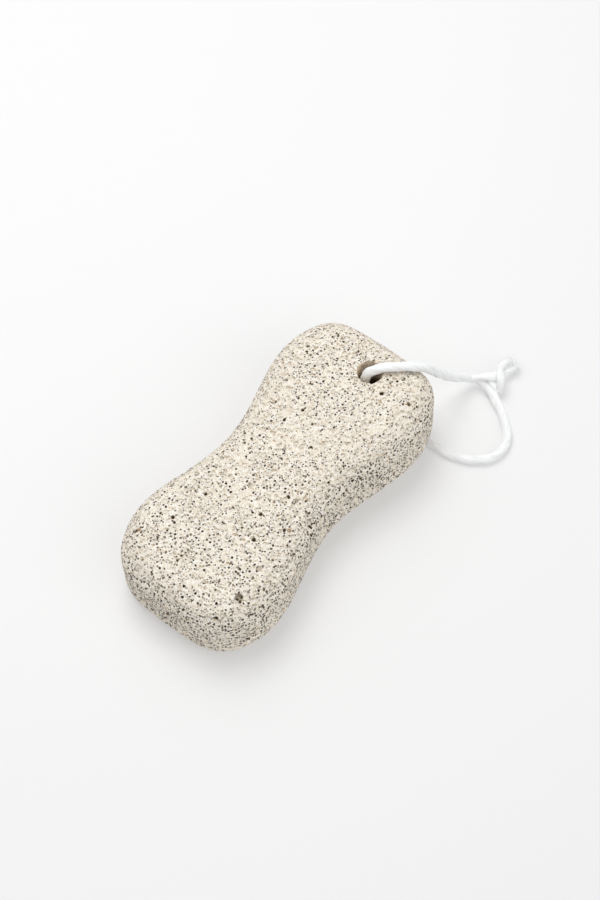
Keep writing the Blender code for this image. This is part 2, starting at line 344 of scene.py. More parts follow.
def hairs(roots, ways, bends, thickness):
    """Loose fibres: a hair's centre is its root + way t + bend t^2 for t from 0 to 1. Its rings have
    HAIR_SIDES points each, and it thins to HAIR_TIP of its thickness."""
    t = np.linspace(0.0, 1.0, HAIR_RINGS)[None, :, None]
    centre = roots[:, None] + ways[:, None] * t + bends[:, None] * t**2
    ahead = unit(ways[:, None] + 2.0 * bends[:, None] * t)
    side = unit(np.cross(ahead, (0.31, 0.52, 0.79)))
    other = np.cross(ahead, side)
    angle = 2.0 * math.pi * np.arange(HAIR_SIDES) / HAIR_SIDES
    ring = np.cos(angle)[:, None] * side[:, :, None] + np.sin(angle)[:, None] * other[:, :, None]
    radius = thickness / 2.0 * (1.0 - (1.0 - HAIR_TIP) * t[..., None] ** 1.5)
    points = (centre[:, :, None] + radius * ring).reshape(-1, 3)
    points_each = HAIR_RINGS * HAIR_SIDES
    first = np.arange(len(roots))[:, None, None] * points_each
    here = first + np.arange(HAIR_RINGS - 1)[:, None] * HAIR_SIDES + np.arange(HAIR_SIDES)
    beside = np.roll(here, -1, axis=-1)
    sides = np.stack([here, beside, beside + HAIR_SIDES, here + HAIR_SIDES], axis=-1).reshape(-1, 4)
    bottoms = first[:, 0] + np.arange(HAIR_SIDES)[::-1]
    tops = bottoms[:, ::-1] + points_each - HAIR_SIDES
    return points, sides.tolist() + bottoms.tolist() + tops.tolist(), np.zeros_like(points)


def frayed_end(line, draw):
    """Hairs that leave the last stretch of a cut end and fan out, kept above the floor."""
    chance = np.random.default_rng(draw)
    ahead = unit(line[-1] - line[-12])
    start = line[-1 - chance.integers(0, FRAY_STEPS, FRAY_HAIRS)]
    scatter = chance.normal(size=(FRAY_HAIRS, 3))
    roots = start + FRAY_SPREAD * scatter * (1.0, 1.0, 0.7)
    reach = FRAY_LENGTH * chance.uniform(0.35, 1.0, FRAY_HAIRS)[:, None]
    ways = reach * unit(ahead + FRAY_FAN * scatter)
    bends = 0.35 * reach * chance.normal(size=(FRAY_HAIRS, 3)) * (1.0, 1.0, 0.4)
    roots[:, 2] = np.maximum(roots[:, 2], HAIR_THICKNESS)
    tips = roots + ways + bends
    bends[:, 2] += np.maximum(0.0, 3.0 * HAIR_THICKNESS - tips[:, 2])
    return hairs(roots, ways, bends, HAIR_THICKNESS)


def fuzz(line, count, draw):
    """Short stray fibres that stand off the cord all along it."""
    chance = np.random.default_rng(draw)
    place = chance.integers(1, len(line) - 1, count)
    ahead = unit(line[place + 1] - line[place - 1])
    out = unit(np.cross(ahead, chance.normal(size=(count, 3))))
    roots = line[place] + 0.45 * CORD_DIAMETER * out
    reach = FUZZ_LENGTH * chance.uniform(0.3, 1.0, count)[:, None]
    ways = reach * unit(0.5 * out + chance.choice((-1.0, 1.0), count)[:, None] * ahead)
    bends = 0.4 * reach * (out + 0.5 * chance.normal(size=(count, 3)))
    tips = roots + ways + bends
    kept = (roots[:, 2] > 0.3 * MM) & (tips[:, 2] > 0.1 * MM)
    return hairs(roots[kept], ways[kept], bends[kept], 0.5 * HAIR_THICKNESS)


def build_knot():
    """The knot's turns and the two frayed ends, as one piece."""
    parts = []
    for k, route in enumerate(KNOT_TURNS):
        line = smooth_curve(route, CORD_STEP)
        parts.append(strand(line, KNOT_TURN_RADIUS, draw=7 + 2 * k, thin_end=KNOT_TURN_THIN_END))
    for k, route in enumerate(CUT_ENDS):
        line = smooth_curve(route, CORD_STEP)
        parts.append(strand(line, CUT_END_RADIUS, draw=11 + k, thin_end=CUT_END_THIN_END))
        parts.append(frayed_end(line, draw=21 + k))
    return new_piece("cotton_knot", parts)


knot = build_knot()
stray_fibres = new_piece("cotton_fuzz", [fuzz(cord_line, FUZZ_HAIRS, draw=31)])

# Cotton's colours: painted shade between its fibres, on them, and on the soft tufts
FIBRE_PAINTED_SHADE = (0.83, 0.845, 0.855, 1.0)
FIBRE_WHITE = (0.96, 0.965, 0.965, 1.0)
TUFT_WHITE = (0.90, 0.90, 0.895, 1.0)
STREAK_HEIGHT = 0.16 * MM


def add_node(tree, kind, links=(), **settings):
    """A shader node with these settings. Each of the links is an input and a value or a socket."""
    node = tree.nodes.new(kind)
    for name, value in settings.items():
        setattr(node, name, value)
    for name, value in links:
        if isinstance(value, bpy.types.NodeSocket):
            tree.links.new(value, node.inputs[name])
        else:
            node.inputs[name].default_value = value
    return node


def blend_colours(tree, share, first, second):
    """The colour between first and second at this share."""
    node = tree.nodes.new("ShaderNodeMix")
    node.data_type = "RGBA"
    for socket, value in ((node.inputs[0], share), (node.inputs[6], first), (node.inputs[7], second)):
        if isinstance(value, bpy.types.NodeSocket):
            tree.links.new(value, socket)
        else:
            socket.default_value = value
    return node.outputs[2]


def ramp(tree, value, start, end, low=0.0, high=1.0):
    """Goes smoothly from low to high as the value goes from start to end."""
    node = add_node(
        tree,
        "ShaderNodeMapRange",
        (("Value", value), ("From Min", start), ("From Max", end), ("To Min", low), ("To Max", high)),
        interpolation_type="SMOOTHSTEP",
    )
    return node.outputs["Result"]


def noise(tree, place, scale, detail, roughness=0.5):
    """A node of soft noise at this place, with this many lumps to a unit of length."""
    return add_node(
        tree,
        "ShaderNodeTexNoise",
        (("Vector", place), ("Scale", scale), ("Detail", detail), ("Roughness", roughness)),
    )


def cotton_material():
    """White cotton: its fibres show as fine streaks along the plies, with soft tufts between."""
    material = bpy.data.materials.new("cotton")
    material.use_nodes = True
    tree = material.node_tree
    shader = tree.nodes["Principled BSDF"]
    straight = add_node(tree, "ShaderNodeAttribute", attribute_name="straight").outputs["Vector"]
    stretched = add_node(
        tree, "ShaderNodeMapping", (("Vector", straight), ("Scale", (2.6, 2.6, 0.3)))
    ).outputs["Vector"]
    streaks = noise(tree, stretched, 1.0, 4.0, 0.6).outputs["Fac"]
    tufts = noise(tree, straight, 0.9, 2.0).outputs["Fac"]
    colour = blend_colours(tree, ramp(tree, streaks, 0.35, 0.65), FIBRE_PAINTED_SHADE, FIBRE_WHITE)
    colour = blend_colours(tree, ramp(tree, tufts, 0.35, 0.7, 0.0, 0.35), colour, TUFT_WHITE)
    tree.links.new(colour, shader.inputs["Base Color"])
    bump = add_node(
        tree, "ShaderNodeBump", (("Height", streaks), ("Strength", 0.6), ("Distance", STREAK_HEIGHT))
    )
    tree.links.new(bump.outputs["Normal"], shader.inputs["Normal"])
    shader.inputs["Roughness"].default_value = 0.92
    shader.inputs["Specular IOR Level"].default_value = 0.2
    shader.inputs["Sheen Weight"].default_value = 0.25
    shader.inputs["Sheen Roughness"].default_value = 0.6
    return material


cotton = cotton_material()
for piece in (loop, knot, stray_fibres):
    piece.data.materials.append(cotton)
    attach(piece, "root")
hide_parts("cord_loop")
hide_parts("cord_knot")

# Stone: one piece of pumice, a volcanic froth. It was ground to a waisted slab with a flat
# underside, drilled near one end, and tumbled, which rounded its edges and left its pores open.
LENGTH = 96.4 * MM
WAIST_HALF_WIDTH = 17.5 * MM
LOBE_HALF_WIDTH = 24.9 * MM
LOBE_PLACE = 0.76  # where the width is full, as a share of the half length
THICKNESS = 22.4 * MM
CROWN = 0.5 * MM
TOP_ROUNDING_IN = 9.4 * MM
TOP_ROUNDING_DOWN = 7.6 * MM
BASE_ROUNDING = 4.4 * MM
DRILLED_END_SQUARENESS = (3.06, 5.1)
FAR_END_SQUARENESS = (3.4, 4.0)
LUMP_HEIGHT = 0.25 * MM
LUMP_SIZE = 13.0 * MM
HOLE_DIAMETER = 7.1 * MM
HOLE_X = 36.5 * MM
HOLE_Y = -2.6 * MM
HOLE_FLARE = 0.15 * MM
HOLE_CHIPS = 0.75 * MM  # how far the largest chips at its mouths go, and their size
HOLE_CHIP_SIZE = 1.3 * MM
HOLE_MOUTH = 0.55 * MM  # how far down the flare and the chips fade
HOLE_WANDER = 0.12 * MM  # how far its wall is uneven, and the size of that
HOLE_WANDER_SIZE = 2.1 * MM
HOLE_UNSHADED_DEPTH = 3.5 * MM  # painted shade down the hole starts this far below the top,
HOLE_SHADE = 9.0 * MM  # and this much further down it is at its darkest
HOLE_COLUMNS = 120
HOLE_ROWS = 110
PITCH = math.asin((CORD_DIAMETER + 0.6 * MM) / (LENGTH / 2 + HOLE_X))
# Gas bubbles that the skin cuts open: the size of a cell that holds one, the smallest and largest
# radius, the share of cells that hold one, and the number of the random draw. Cups are shallow.
CUPS = (1.45 * MM, (0.45 * MM, 0.72 * MM), 0.95, 61)
CUP_DEPTH = 0.12 * MM
CUP_DEEPER_ON_WALLS = 0.14 * MM
PORES = (
    (1.2 * MM, (0.22 * MM, 0.38 * MM), 0.5, 71),
    (2.6 * MM, (0.4 * MM, 0.6 * MM), 0.12, 81),
)
PORE_WARP = 0.14 * MM  # how far the bubbles are pushed out of round, and over what distance
PORE_WARP_SIZE = 0.7 * MM
PORE_MARGIN = 0.4  # millimetres outside a pore's edge that are still told apart
# Vesicles that stand out on the upper face: x, y, radius, how far the middle lies below the skin, and
# how far inside a pore they count at most, which says how dark they get
VESICLES = (
    (-36.4 * MM, -16.1 * MM, 1.05 * MM, 0.35 * MM, 0.03 * MM),
    (-36.95 * MM, -16.1 * MM, 0.42 * MM, 0.15 * MM, 0.3 * MM),
    (-37.1 * MM, -17.0 * MM, 0.45 * MM, 0.15 * MM, 0.3 * MM),
    (-27.0 * MM, -15.3 * MM, 0.95 * MM, -0.5 * MM, 0.01 * MM),
    (-9.8 * MM, 1.5 * MM, 0.85 * MM, -0.5 * MM, 0.01 * MM),
    (35.0 * MM, -16.9 * MM, 0.55 * MM, 0.1 * MM, 0.1 * MM),
    (-14.3 * MM, -13.6 * MM, 0.5 * MM, 0.2 * MM, 0.2 * MM),
    (-6.0 * MM, -10.9 * MM, 0.55 * MM, 0.1 * MM, 0.0 * MM),
    (-37.9 * MM, 17.2 * MM, 0.55 * MM, 0.1 * MM, 0.2 * MM),
    (32.9 * MM, 15.9 * MM, 0.6 * MM, 0.2 * MM, 0.1 * MM),
    (33.8 * MM, 13.7 * MM, 0.7 * MM, -0.3 * MM, 0.0 * MM),
)
# Brown grains of iron stain on the upper face: x, y and radius
RUST_SPECKS = (
    (-4.1 * MM, -12.3 * MM, 0.85 * MM),
    (-13.7 * MM, -14.6 * MM, 0.75 * MM),
    (-4.4 * MM, 11.6 * MM, 0.5 * MM),
    (35.2 * MM, -16.2 * MM, 0.5 * MM),
    (-37.2 * MM, 16.6 * MM, 0.7 * MM),
)
OUTLINE_COLUMNS = 480
TOP_ROWS = 30
EDGE_ROWS = 24
WALL_ROWS = 16
FOOT_ROWS = 12
BASE_ROWS = 24
STONE_VOXEL = 0.2 * MM
MOST_TRIANGLES = 195000


def outline(angle):
    """The stone seen from above: a superellipse whose half width narrows smoothly to the waist."""
    cosine = np.cos(angle)
    sine = np.sin(angle)
    drilled = cosine > 0
    along = np.where(drilled, DRILLED_END_SQUARENESS[0], FAR_END_SQUARENESS[0])
    across = np.where(drilled, DRILLED_END_SQUARENESS[1], FAR_END_SQUARENESS[1])
    place = np.sign(cosine) * np.abs(cosine) ** (2.0 / along)
    widening = smooth_step(np.abs(place) / LOBE_PLACE)
    half_width = WAIST_HALF_WIDTH + (LOBE_HALF_WIDTH - WAIST_HALF_WIDTH) * widening
    x = LENGTH / 2 * place
    y = half_width * np.sign(sine) * np.abs(sine) ** (2.0 / across)
    return np.stack([x, y], axis=1)


def even_outline(count):
    """Points at equal steps round the outline, with the normals that point out of it."""
    fine = outline(np.linspace(0.0, 2.0 * math.pi, 20 * count + 1))
    run = np.concatenate([[0.0], np.cumsum(np.linalg.norm(np.diff(fine, axis=0), axis=1))])
    steps = np.linspace(0.0, run[-1], count, endpoint=False)
    points = np.stack([np.interp(steps, run, fine[:, axis]) for axis in (0, 1)], axis=1)
    ahead = unit(np.roll(points, -1, axis=0) - np.roll(points, 1, axis=0))
    return points, np.stack([ahead[:, 1], -ahead[:, 0]], axis=1)


def stone_profile():
    """Rows of scale, inset and height, from the middle of the top over the edge to that of the base.

    The top is flat but for a low crown, CROWN (1 - scale^2). Its edge is a quarter ellipse, the wall
    is upright, and the base's edge is a quarter circle.
    """
    scale = np.linspace(0.0, 1.0, TOP_ROWS, endpoint=False)
    top = np.stack([scale, 0 * scale + TOP_ROUNDING_IN, THICKNESS + CROWN * (1.0 - scale**2)], axis=1)
    turn = np.linspace(0.0, math.pi / 2, EDGE_ROWS, endpoint=False)
    inset = TOP_ROUNDING_IN * (1.0 - np.sin(turn))
    height = THICKNESS - TOP_ROUNDING_DOWN * (1.0 - np.cos(turn))
    edge = np.stack([0 * turn + 1.0, inset, height], axis=1)
    height = np.linspace(THICKNESS - TOP_ROUNDING_DOWN, BASE_ROUNDING, WALL_ROWS, endpoint=False)
    wall = np.stack([0 * height + 1.0, 0 * height, height], axis=1)
    turn = np.linspace(0.0, math.pi / 2, FOOT_ROWS, endpoint=False)
    inset = BASE_ROUNDING * (1.0 - np.cos(turn))
    foot = np.stack([0 * turn + 1.0, inset, BASE_ROUNDING * (1.0 - np.sin(turn))], axis=1)
    scale = np.linspace(1.0, 0.0, BASE_ROWS)
    base = np.stack([scale, 0 * scale + BASE_ROUNDING, 0 * scale], axis=1)
    return np.vstack([top, edge, wall, foot, base])


def closed_grid(name, grid):
    """A mesh over rows of points that run round and round, its first and last rows drawn to a pole."""
    rows, columns = grid.shape[:2]
    points = np.vstack([grid[0].mean(axis=0), grid[1:-1].reshape(-1, 3), grid[-1].mean(axis=0)])
    row = np.arange(rows - 3)[:, None]
    here = 1 + row * columns + np.arange(columns)[None, :]
    beside = 1 + row * columns + (np.arange(columns)[None, :] + 1) % columns
    quads = np.stack([here, here + columns, beside + columns, beside], axis=-1).reshape(-1, 4)
    first = np.stack([np.zeros(columns, int), here[0], beside[0]], axis=1)
    last_here = here[-1] + columns
    last_beside = beside[-1] + columns
    last = np.stack([np.full(columns, len(points) - 1), last_beside, last_here], axis=1)
    mesh = bpy.data.meshes.new(name)
    mesh.from_pydata(points, [], quads.tolist() + first.tolist() + last.tolist())
    piece = bpy.data.objects.new(name, mesh)
    bpy.context.scene.collection.objects.link(piece)
    return piece


def stone_blank():
    """The ground slab before drilling. A point is scale times the outline's point less the inset along
    its normal, at the row's height, and low soft lumps raise it above the underside."""
    points, normals = even_outline(OUTLINE_COLUMNS)
    scale, inset, height = (column[:, None] for column in stone_profile().T)
    flat = scale[..., None] * (points[None] - inset[..., None] * normals[None])
    grid = np.concatenate([flat, np.broadcast_to(height[..., None], flat.shape[:2] + (1,))], axis=-1)
    lift = np.stack([normals[:, 0], normals[:, 1], 0 * normals[:, 0]], axis=1)[None]
    steep = smooth_step((THICKNESS - height) / TOP_ROUNDING_DOWN)[..., None]
    lift = unit(steep * lift + (1.05 - steep) * np.array((0.0, 0.0, 1.0)))
    above_base = smooth_step((height - 0.3 * BASE_ROUNDING) / BASE_ROUNDING)
    lumps = LUMP_HEIGHT * soft_noise(grid, LUMP_SIZE, 41) * above_base
    return closed_grid("stone_blank", grid + lumps[..., None] * lift)


def hole_drill():
    """A rod a little uneven along its length, which widens at both mouths where the stone chipped.

    At a distance m from the nearer mouth its radius is the hole's, less a hair, plus the flare and
    the chips times exp(-m / HOLE_MOUTH).
    """
    angle = np.linspace(0.0, 2.0 * math.pi, HOLE_COLUMNS, endpoint=False)[None, :]
    height = np.linspace(THICKNESS + 3.0 * MM, -3.0 * MM, HOLE_ROWS)[:, None]
    to_mouth = np.minimum(np.abs(height - THICKNESS - 0.4 * MM), np.abs(height))
    rod = HOLE_DIAMETER / 2
    place = np.stack(np.broadcast_arrays(rod * np.cos(angle), rod * np.sin(angle), height), axis=-1)
    chips = HOLE_CHIPS * np.maximum(soft_noise(place, HOLE_CHIP_SIZE, 43), 0.0)
    flare = (HOLE_FLARE + chips) * np.exp(-to_mouth / HOLE_MOUTH)
    radius = rod - 0.1 * MM + flare + HOLE_WANDER * soft_noise(place, HOLE_WANDER_SIZE, 44)
    x = HOLE_X + radius * np.cos(angle)
    y = HOLE_Y + radius * np.sin(angle)
    return closed_grid("hole_drill", np.stack(np.broadcast_arrays(x, y, height), axis=-1))


def ball(away, normals, radius):
    """What a ball cuts from a skin: how far a point goes in along its normal to leave the ball, and how
    far it lies inside the ring where the skin cuts the ball.

    With p - c the point's way from the ball's middle, a = n (p - c) and s = |p - c|^2 - a^2, the
    depth is a + sqrt(r^2 - s), and the point lies sqrt(r^2 - a^2) - sqrt(s) inside the ring.
    """
    above = np.sum(away * normals, axis=-1)
    aside = np.maximum(np.sum(away * away, axis=-1) - above**2, 0.0)
    inside = np.sqrt(np.maximum(radius**2 - above**2, 0.0)) - np.sqrt(aside)
    cut = (inside > 0.0) & (np.abs(above) < radius)
    return np.where(cut, above + np.sqrt(np.maximum(radius**2 - aside, 0.0)), 0.0), inside


def bubbles(points, normals, cell, radii, share_filled, draw):
    """The deepest that a field of gas bubbles cuts in at each point, and the furthest inside a ring.

    Each cube of the cell's size has at most one bubble, a ball at a seeded place with a radius of
    half a cell at most, so only the eight cubes nearest to a point matter.
    """
    home = np.floor(points / cell - 0.5)
    depth = np.zeros(len(points))
    inside = np.full(len(points), -cell)
    for step in np.ndindex(2, 2, 2):
        cells = home + np.array(step)
        centre = cell * (cells + np.stack([random_at(cells, draw + k) for k in range(3)], axis=-1))
        radius = radii[0] + (radii[1] - radii[0]) * random_at(cells, draw + 3) ** 2
        radius = np.where(random_at(cells, draw + 4) < share_filled, radius, 0.0)
        own_depth, own_inside = ball(points - centre, normals, radius)
        depth = np.maximum(depth, own_depth)
        inside = np.maximum(inside, own_inside)
    return depth, inside


def evaluated_copy(piece, name):
    """A new mesh object of the piece with its modifiers worked in."""
    graph = bpy.context.evaluated_depsgraph_get()
    mesh = bpy.data.meshes.new_from_object(piece.evaluated_get(graph))
    made = bpy.data.objects.new(name, mesh)
    bpy.context.scene.collection.objects.link(made)
    return made


def read_mesh(mesh):
    """The mesh's points and the normals there."""
    points = np.empty(len(mesh.vertices) * 3)
    mesh.vertices.foreach_get("co", points)
    normals = np.empty(len(mesh.vertices) * 3, np.float32)
    mesh.vertex_normals.foreach_get("vector", normals)
    return points.reshape(-1, 3), normals.reshape(-1, 3).astype(float)


def open_pores(mesh):
    """Sinks the pores into the skin, and keeps how far inside a pore each point lies, in millimetres."""
    points, normals = read_mesh(mesh)
    warp = np.stack([soft_noise(points, PORE_WARP_SIZE, 51 + k) for k in range(3)], axis=-1)
    warped = points + PORE_WARP * warp
    to_hole = np.hypot(points[:, 0] - HOLE_X, points[:, 1] - HOLE_Y) / (HOLE_DIAMETER / 2)
    steepness = 1.0 - np.abs(normals[:, 2])
    cups, in_cup = bubbles(warped, normals, *CUPS)
    depth = np.minimum(0.5 * cups, CUP_DEPTH + CUP_DEEPER_ON_WALLS * steepness)
    inside = np.full(len(points), -MM)
    for pores in PORES:
        deeper, further = bubbles(warped, normals, *pores)
        depth = np.maximum(depth, deeper)
        inside = np.maximum(inside, further)
    for x, y, radius, sunk, darkest in VESICLES:
        nearest = np.argmin(np.hypot(points[:, 0] - x, points[:, 1] - y) + (normals[:, 2] < 0.3))
        middle = points[nearest] - sunk * normals[nearest]
        deeper, further = ball(points + 0.5 * (warped - points) - middle, normals, radius)
        depth = np.maximum(depth, deeper)
        inside = np.maximum(inside, np.minimum(further, darkest))
    mesh.vertices.foreach_set("co", (points - normals * depth[:, None]).ravel())
    stain = np.zeros(len(points))
    for x, y, radius in RUST_SPECKS:
        aside = np.hypot(warped[:, 0] - x, warped[:, 1] - y) / radius
        stain = np.maximum(stain, smooth_step((1.0 - aside) / 0.4) * (normals[:, 2] > 0.3))
    marks = (
        ("pore", np.maximum(inside / MM, -PORE_MARGIN)),
        ("cup", np.maximum(in_cup / MM, -PORE_MARGIN)),
        ("hole", smooth_step((1.1 - to_hole) / 0.12)),
        # how far down a point lies, for the painted shade down the hole
        ("down", smooth_step((THICKNESS - HOLE_UNSHADED_DEPTH - points[:, 2]) / HOLE_SHADE)),
        ("wall", steepness),
        ("rust", stain),
    )
    for name, value in marks:
        mesh.attributes.new(name, "FLOAT", "POINT").data.foreach_set("value", value.astype(np.float32))
    mesh.update()


def build_stone():
    """The blank is drilled, remeshed evenly, given its pores, and thinned where it can spare points."""
    blank = stone_blank()
    drill = hole_drill()
    drilled = blank.modifiers.new("drilled", "BOOLEAN")
    drilled.operation = "DIFFERENCE"
    drilled.object = drill
    even = blank.modifiers.new("even", "REMESH")
    even.mode = "VOXEL"
    even.voxel_size = STONE_VOXEL
    carved = evaluated_copy(blank, "carved_stone")
    open_pores(carved.data)
    triangles = sum(len(face.vertices) - 2 for face in carved.data.polygons)
    thin = carved.modifiers.new("thin", "DECIMATE")
    thin.ratio = min(1.0, MOST_TRIANGLES / triangles)
    made = evaluated_copy(carved, "porous_stone")
    for helper in (blank, drill, carved):
        bpy.data.objects.remove(helper, do_unlink=True)
    made.data.shade_smooth()
    seat(made.data)
    return made


def seat(mesh):
    """Pitches the stone as the cord under its drilled end holds it, and sets it where its solid is."""
    points, _ = read_mesh(mesh)
    cosine = math.cos(PITCH)
    sine = math.sin(PITCH)
    turned = points @ np.array(((cosine, 0.0, sine), (0.0, 1.0, 0.0), (-sine, 0.0, cosine)))
    low, high = (np.array(corner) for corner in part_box("pumice_stone"))
    shift = (low + high) / 2 - (turned.min(axis=0) + turned.max(axis=0)) / 2
    shift[2] = low[2] - turned[:, 2].min()
    mesh.vertices.foreach_set("co", (turned + shift).ravel())
    mesh.update()


# Pinholes too fine for the mesh, painted dark as their shade, with painted brown shade and a painted
# pale highlight
# round them: cells to a metre, the share of cells that hold one, the smallest and largest radius as
# shares of a cell, and how dark the palest is
SMALL_PINHOLES = (1150.0, 0.85, (0.18, 0.31), 0.35)
LARGE_PINHOLES = (830.0, 0.65, (0.2, 0.31), 0.6)
WALL_PINHOLES = (1200.0, 0.88, (0.34, 0.45), 0.9)
FROTH_CELLS = 920.0  # shallow cups to a metre
# A fixed shift that sets on which side of each cup the painted shade under its edge falls, with the
# painted highlight opposite
CUP_SHADE_SHIFT = (0.19 * MM, 0.15 * MM, 0.15 * MM)
FROTH_PUSH = (0.4 * MM, 0.4 * MM, 0.4 * MM)  # how far pinholes and cups are pushed out of round
RELIEF = 0.2 * MM
# Pumice's colours, each laid over the ones before it
PUMICE_CREAM = (0.84, 0.765, 0.655, 1.0)
PUMICE_PALE = (0.86, 0.79, 0.68, 1.0)
# painted light: the steep walls are made paler and warmer than the top
WALL_PAINTED_LIGHT = (0.93, 0.82, 0.67, 1.0)
GRAIN_BROWN = (0.56, 0.46, 0.33, 1.0)
GRAIN_PALE = (0.97, 0.94, 0.87, 1.0)
# painted highlight on the cups' lips and round the pinholes
PAINTED_HIGHLIGHT_PALE = (1.0, 0.98, 0.93, 1.0)
# painted shade under one side of each cup's edge
CUP_PAINTED_SHADE = (0.45, 0.32, 0.18, 1.0)
RUST_BROWN = (0.40, 0.24, 0.11, 1.0)
# painted shade, with some dirt, inside the pores: brown near their mouths and black further in
PORE_SHADE_DIRT_BROWN = (0.30, 0.22, 0.13, 1.0)
PORE_SHADE_DIRT_BLACK = (0.035, 0.024, 0.012, 1.0)
# painted brown shade just round the pinholes
PINHOLE_EDGE_PAINTED_SHADE = (0.38, 0.26, 0.13, 1.0)
# painted shade that stands for pinholes too fine for the mesh
PINHOLE_PAINTED_SHADE = (0.03, 0.018, 0.007, 1.0)
# painted light: the drilled hole's wall is made paler and warmer
HOLE_PAINTED_LIGHT = (0.97, 0.82, 0.62, 1.0)
# painted shade that deepens down the hole
HOLE_PAINTED_SHADE = (0.08, 0.055, 0.033, 1.0)


def combine(tree, operation, first, second):
    """Two values or sockets worked together by this operation of arithmetic."""
    node = add_node(tree, "ShaderNodeMath", ((0, first), (1, second)), operation=operation)
    return node.outputs["Value"]


def times(tree, first, second):
    return combine(tree, "MULTIPLY", first, second)


def add_up(tree, first, second):
    return combine(tree, "ADD", first, second)


def larger(tree, first, second):
    return combine(tree, "MAXIMUM", first, second)


def cut_bubbles(tree, place, scale, share, sizes, palest, grow):
    """Pinholes in this share of the cells, each of its own size and darkness: masks of the holes,
    painted dark as their shade, of painted brown shade just round them, and of a painted pale
    highlight round that. Grow makes them larger where it is above 1."""
    cells = add_node(
        tree, "ShaderNodeTexVoronoi", (("Vector", place), ("Scale", scale), ("Randomness", 0.75))
    )
    own = add_node(tree, "ShaderNodeSeparateColor", (("Color", cells.outputs["Color"]),))
    size = times(tree, ramp(tree, own.outputs["Red"], 0.0, 1.0, *sizes), grow)
    dark = ramp(tree, own.outputs["Green"], 0.0, 1.0, palest, 1.0)
    dark = times(tree, dark, ramp(tree, own.outputs["Blue"], share + 0.01, share - 0.01))
    distance = cells.outputs["Distance"]
    hole = ramp(tree, distance, times(tree, size, 0.98), times(tree, size, 0.68))
    # painted brown shade just round each pinhole
    edge = ramp(tree, distance, times(tree, size, 1.25), times(tree, size, 0.85))
    # painted pale highlight round that
    highlight_ring = ramp(tree, distance, times(tree, size, 1.9), times(tree, size, 1.15))
    return [times(tree, mask, dark) for mask in (hole, edge, highlight_ring)]


def froth_cups(tree, place):
    """Shallow open cups, one to a cell and each of its own depth: 1 inside the deepest ones."""
    froth = add_node(tree, "ShaderNodeTexVoronoi", (("Vector", place), ("Scale", FROTH_CELLS)))
    own = add_node(tree, "ShaderNodeSeparateColor", (("Color", froth.outputs["Color"]),))
    deep = ramp(tree, own.outputs["Blue"], 0.1, 0.8, 0.3, 1.0)
    return times(tree, ramp(tree, froth.outputs["Distance"], 0.46, 0.34), deep)


